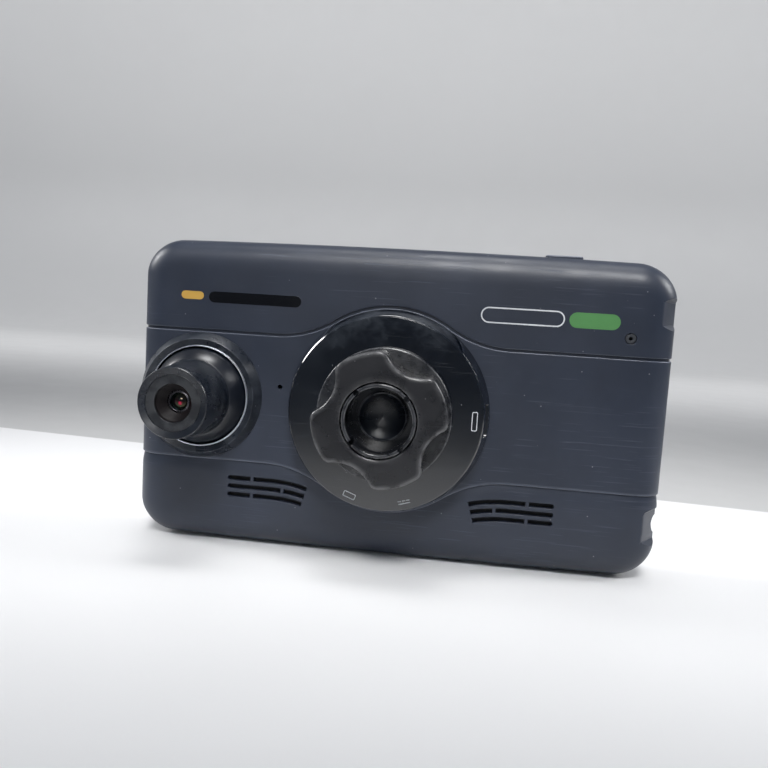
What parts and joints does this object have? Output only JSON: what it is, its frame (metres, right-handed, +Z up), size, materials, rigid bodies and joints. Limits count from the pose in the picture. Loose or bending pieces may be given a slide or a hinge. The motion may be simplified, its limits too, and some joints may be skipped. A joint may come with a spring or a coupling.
{
  "type": "dash camera",
  "caption": "Dash camera with a rear touch screen: slim housing, swivelling lens unit, speaker grilles and a mount disc with ports around a ball clamp.",
  "frame": {"origin": "centre of the ball seat in the clamp on the mount disc", "axes": "+X to the right and +Z up as the lens side is seen, +Y from the lens side through the housing to the screen"},
  "size_m": [0.144, 0.0362, 0.0851],
  "materials": {
    "shell_plastic": "fine satin, dark blue-grey",
    "frame_plastic": "fine satin black",
    "screen_glass": "black printed cover glass, polished",
    "gasket_foam": "matt",
    "panel_metal": "satin",
    "circuit_board": "green solder mask",
    "plated_steel": "tin plated",
    "battery_film": "film-wrapped pouch",
    "screw_steel": "plated",
    "speaker_metal": "matt black",
    "grille_cloth": "fine woven dust cloth",
    "antenna_ceramic": "glazed ceramic",
    "boot_rubber": "matt",
    "switch_plastic": "moulded",
    "socket_plastic": "moulded",
    "disc_gloss": "piano black, lightly scratched",
    "clamp_plastic": "satin, turned",
    "seat_plastic": "polished by the ball",
    "ring_plastic": "satin acetal",
    "nut_plastic": "satin dark grey-brown",
    "collar_plastic": "satin with a polished bevel",
    "chrome_trim": "bright",
    "eyeball_gloss": "polished",
    "barrel_gloss": "polished",
    "bezel_plastic": "satin",
    "baffle_plastic": "matt brown-black",
    "retainer_metal": "turned",
    "lens_glass": "coated, red and green sheen",
    "cell_metal": "black anodised",
    "sensor_glass": "cover glass over a chip"
  },
  "bodies": {
    "housing": {"rear_shell": "shell_plastic", "front_frame": "frame_plastic", "touch_glass": "screen_glass", "lcd_gasket": "gasket_foam", "lcd_panel": "panel_metal", "main_board": "circuit_board", "shield_can": "plated_steel", "battery": "battery_film", "board_screws": "screw_steel", "left_speaker": "speaker_metal", "right_speaker": "speaker_metal", "left_grille_mesh": "grille_cloth", "right_grille_mesh": "grille_cloth", "gps_antenna": "antenna_ceramic", "microphone": "plated_steel", "microphone_boot": "boot_rubber", "reset_switch": "switch_plastic", "card_socket": "plated_steel", "headphone_jack": "socket_plastic", "power_switch": "switch_plastic", "mount_disc": "disc_gloss", "mount_screws": "screw_steel", "port_board": "circuit_board", "usb_socket": "plated_steel", "power_jack": "socket_plastic", "video_jack": "socket_plastic", "ball_collet": "clamp_plastic", "ball_seat": "seat_plastic", "lens_collar": "collar_plastic", "lens_trim_ring": "chrome_trim"},
    "power_button": {"power_button": "shell_plastic"},
    "clamp_ring": {"pressure_ring": "ring_plastic"},
    "clamp_nut": {"clamp_nut": "nut_plastic"},
    "lens_unit": {"lens_eyeball": "eyeball_gloss", "lens_barrel": "barrel_gloss", "lens_bezel": "bezel_plastic", "lens_baffle": "baffle_plastic", "lens_retainer": "retainer_metal", "front_lens": "lens_glass", "lens_cell": "cell_metal", "rear_lens": "lens_glass", "sensor_board": "circuit_board", "image_sensor": "sensor_glass"}
  },
  "joints": [
    {"name": "power_button_press", "type": "slide", "parent": "housing", "child": "power_button", "axis": [0, 0, -1], "range_m": [0, 0.0004], "stiffness_N_per_m": 800, "springref_m": -0.0005},
    {"name": "lens_tilt", "type": "hinge", "parent": "housing", "child": "lens_unit", "pos_m": [-0.0521, 0.0191, 0.0006], "axis": [1, 0, 0], "range_deg": [-15, 15]},
    {"name": "clamp_ring_slide", "type": "slide", "parent": "housing", "child": "clamp_ring", "axis": [0, -1, 0], "range_m": [0, 0.002]},
    {"name": "clamp_nut_turn", "type": "hinge", "parent": "clamp_ring", "child": "clamp_nut", "pos_m": [0, 0, 0], "axis": [0, -1, 0], "range_deg": [0, 360]}
  ],
  "couplings": [
    {"joint": "clamp_ring_slide", "follows": "clamp_nut_turn", "m_per_rad": 0.000318}
  ]
}
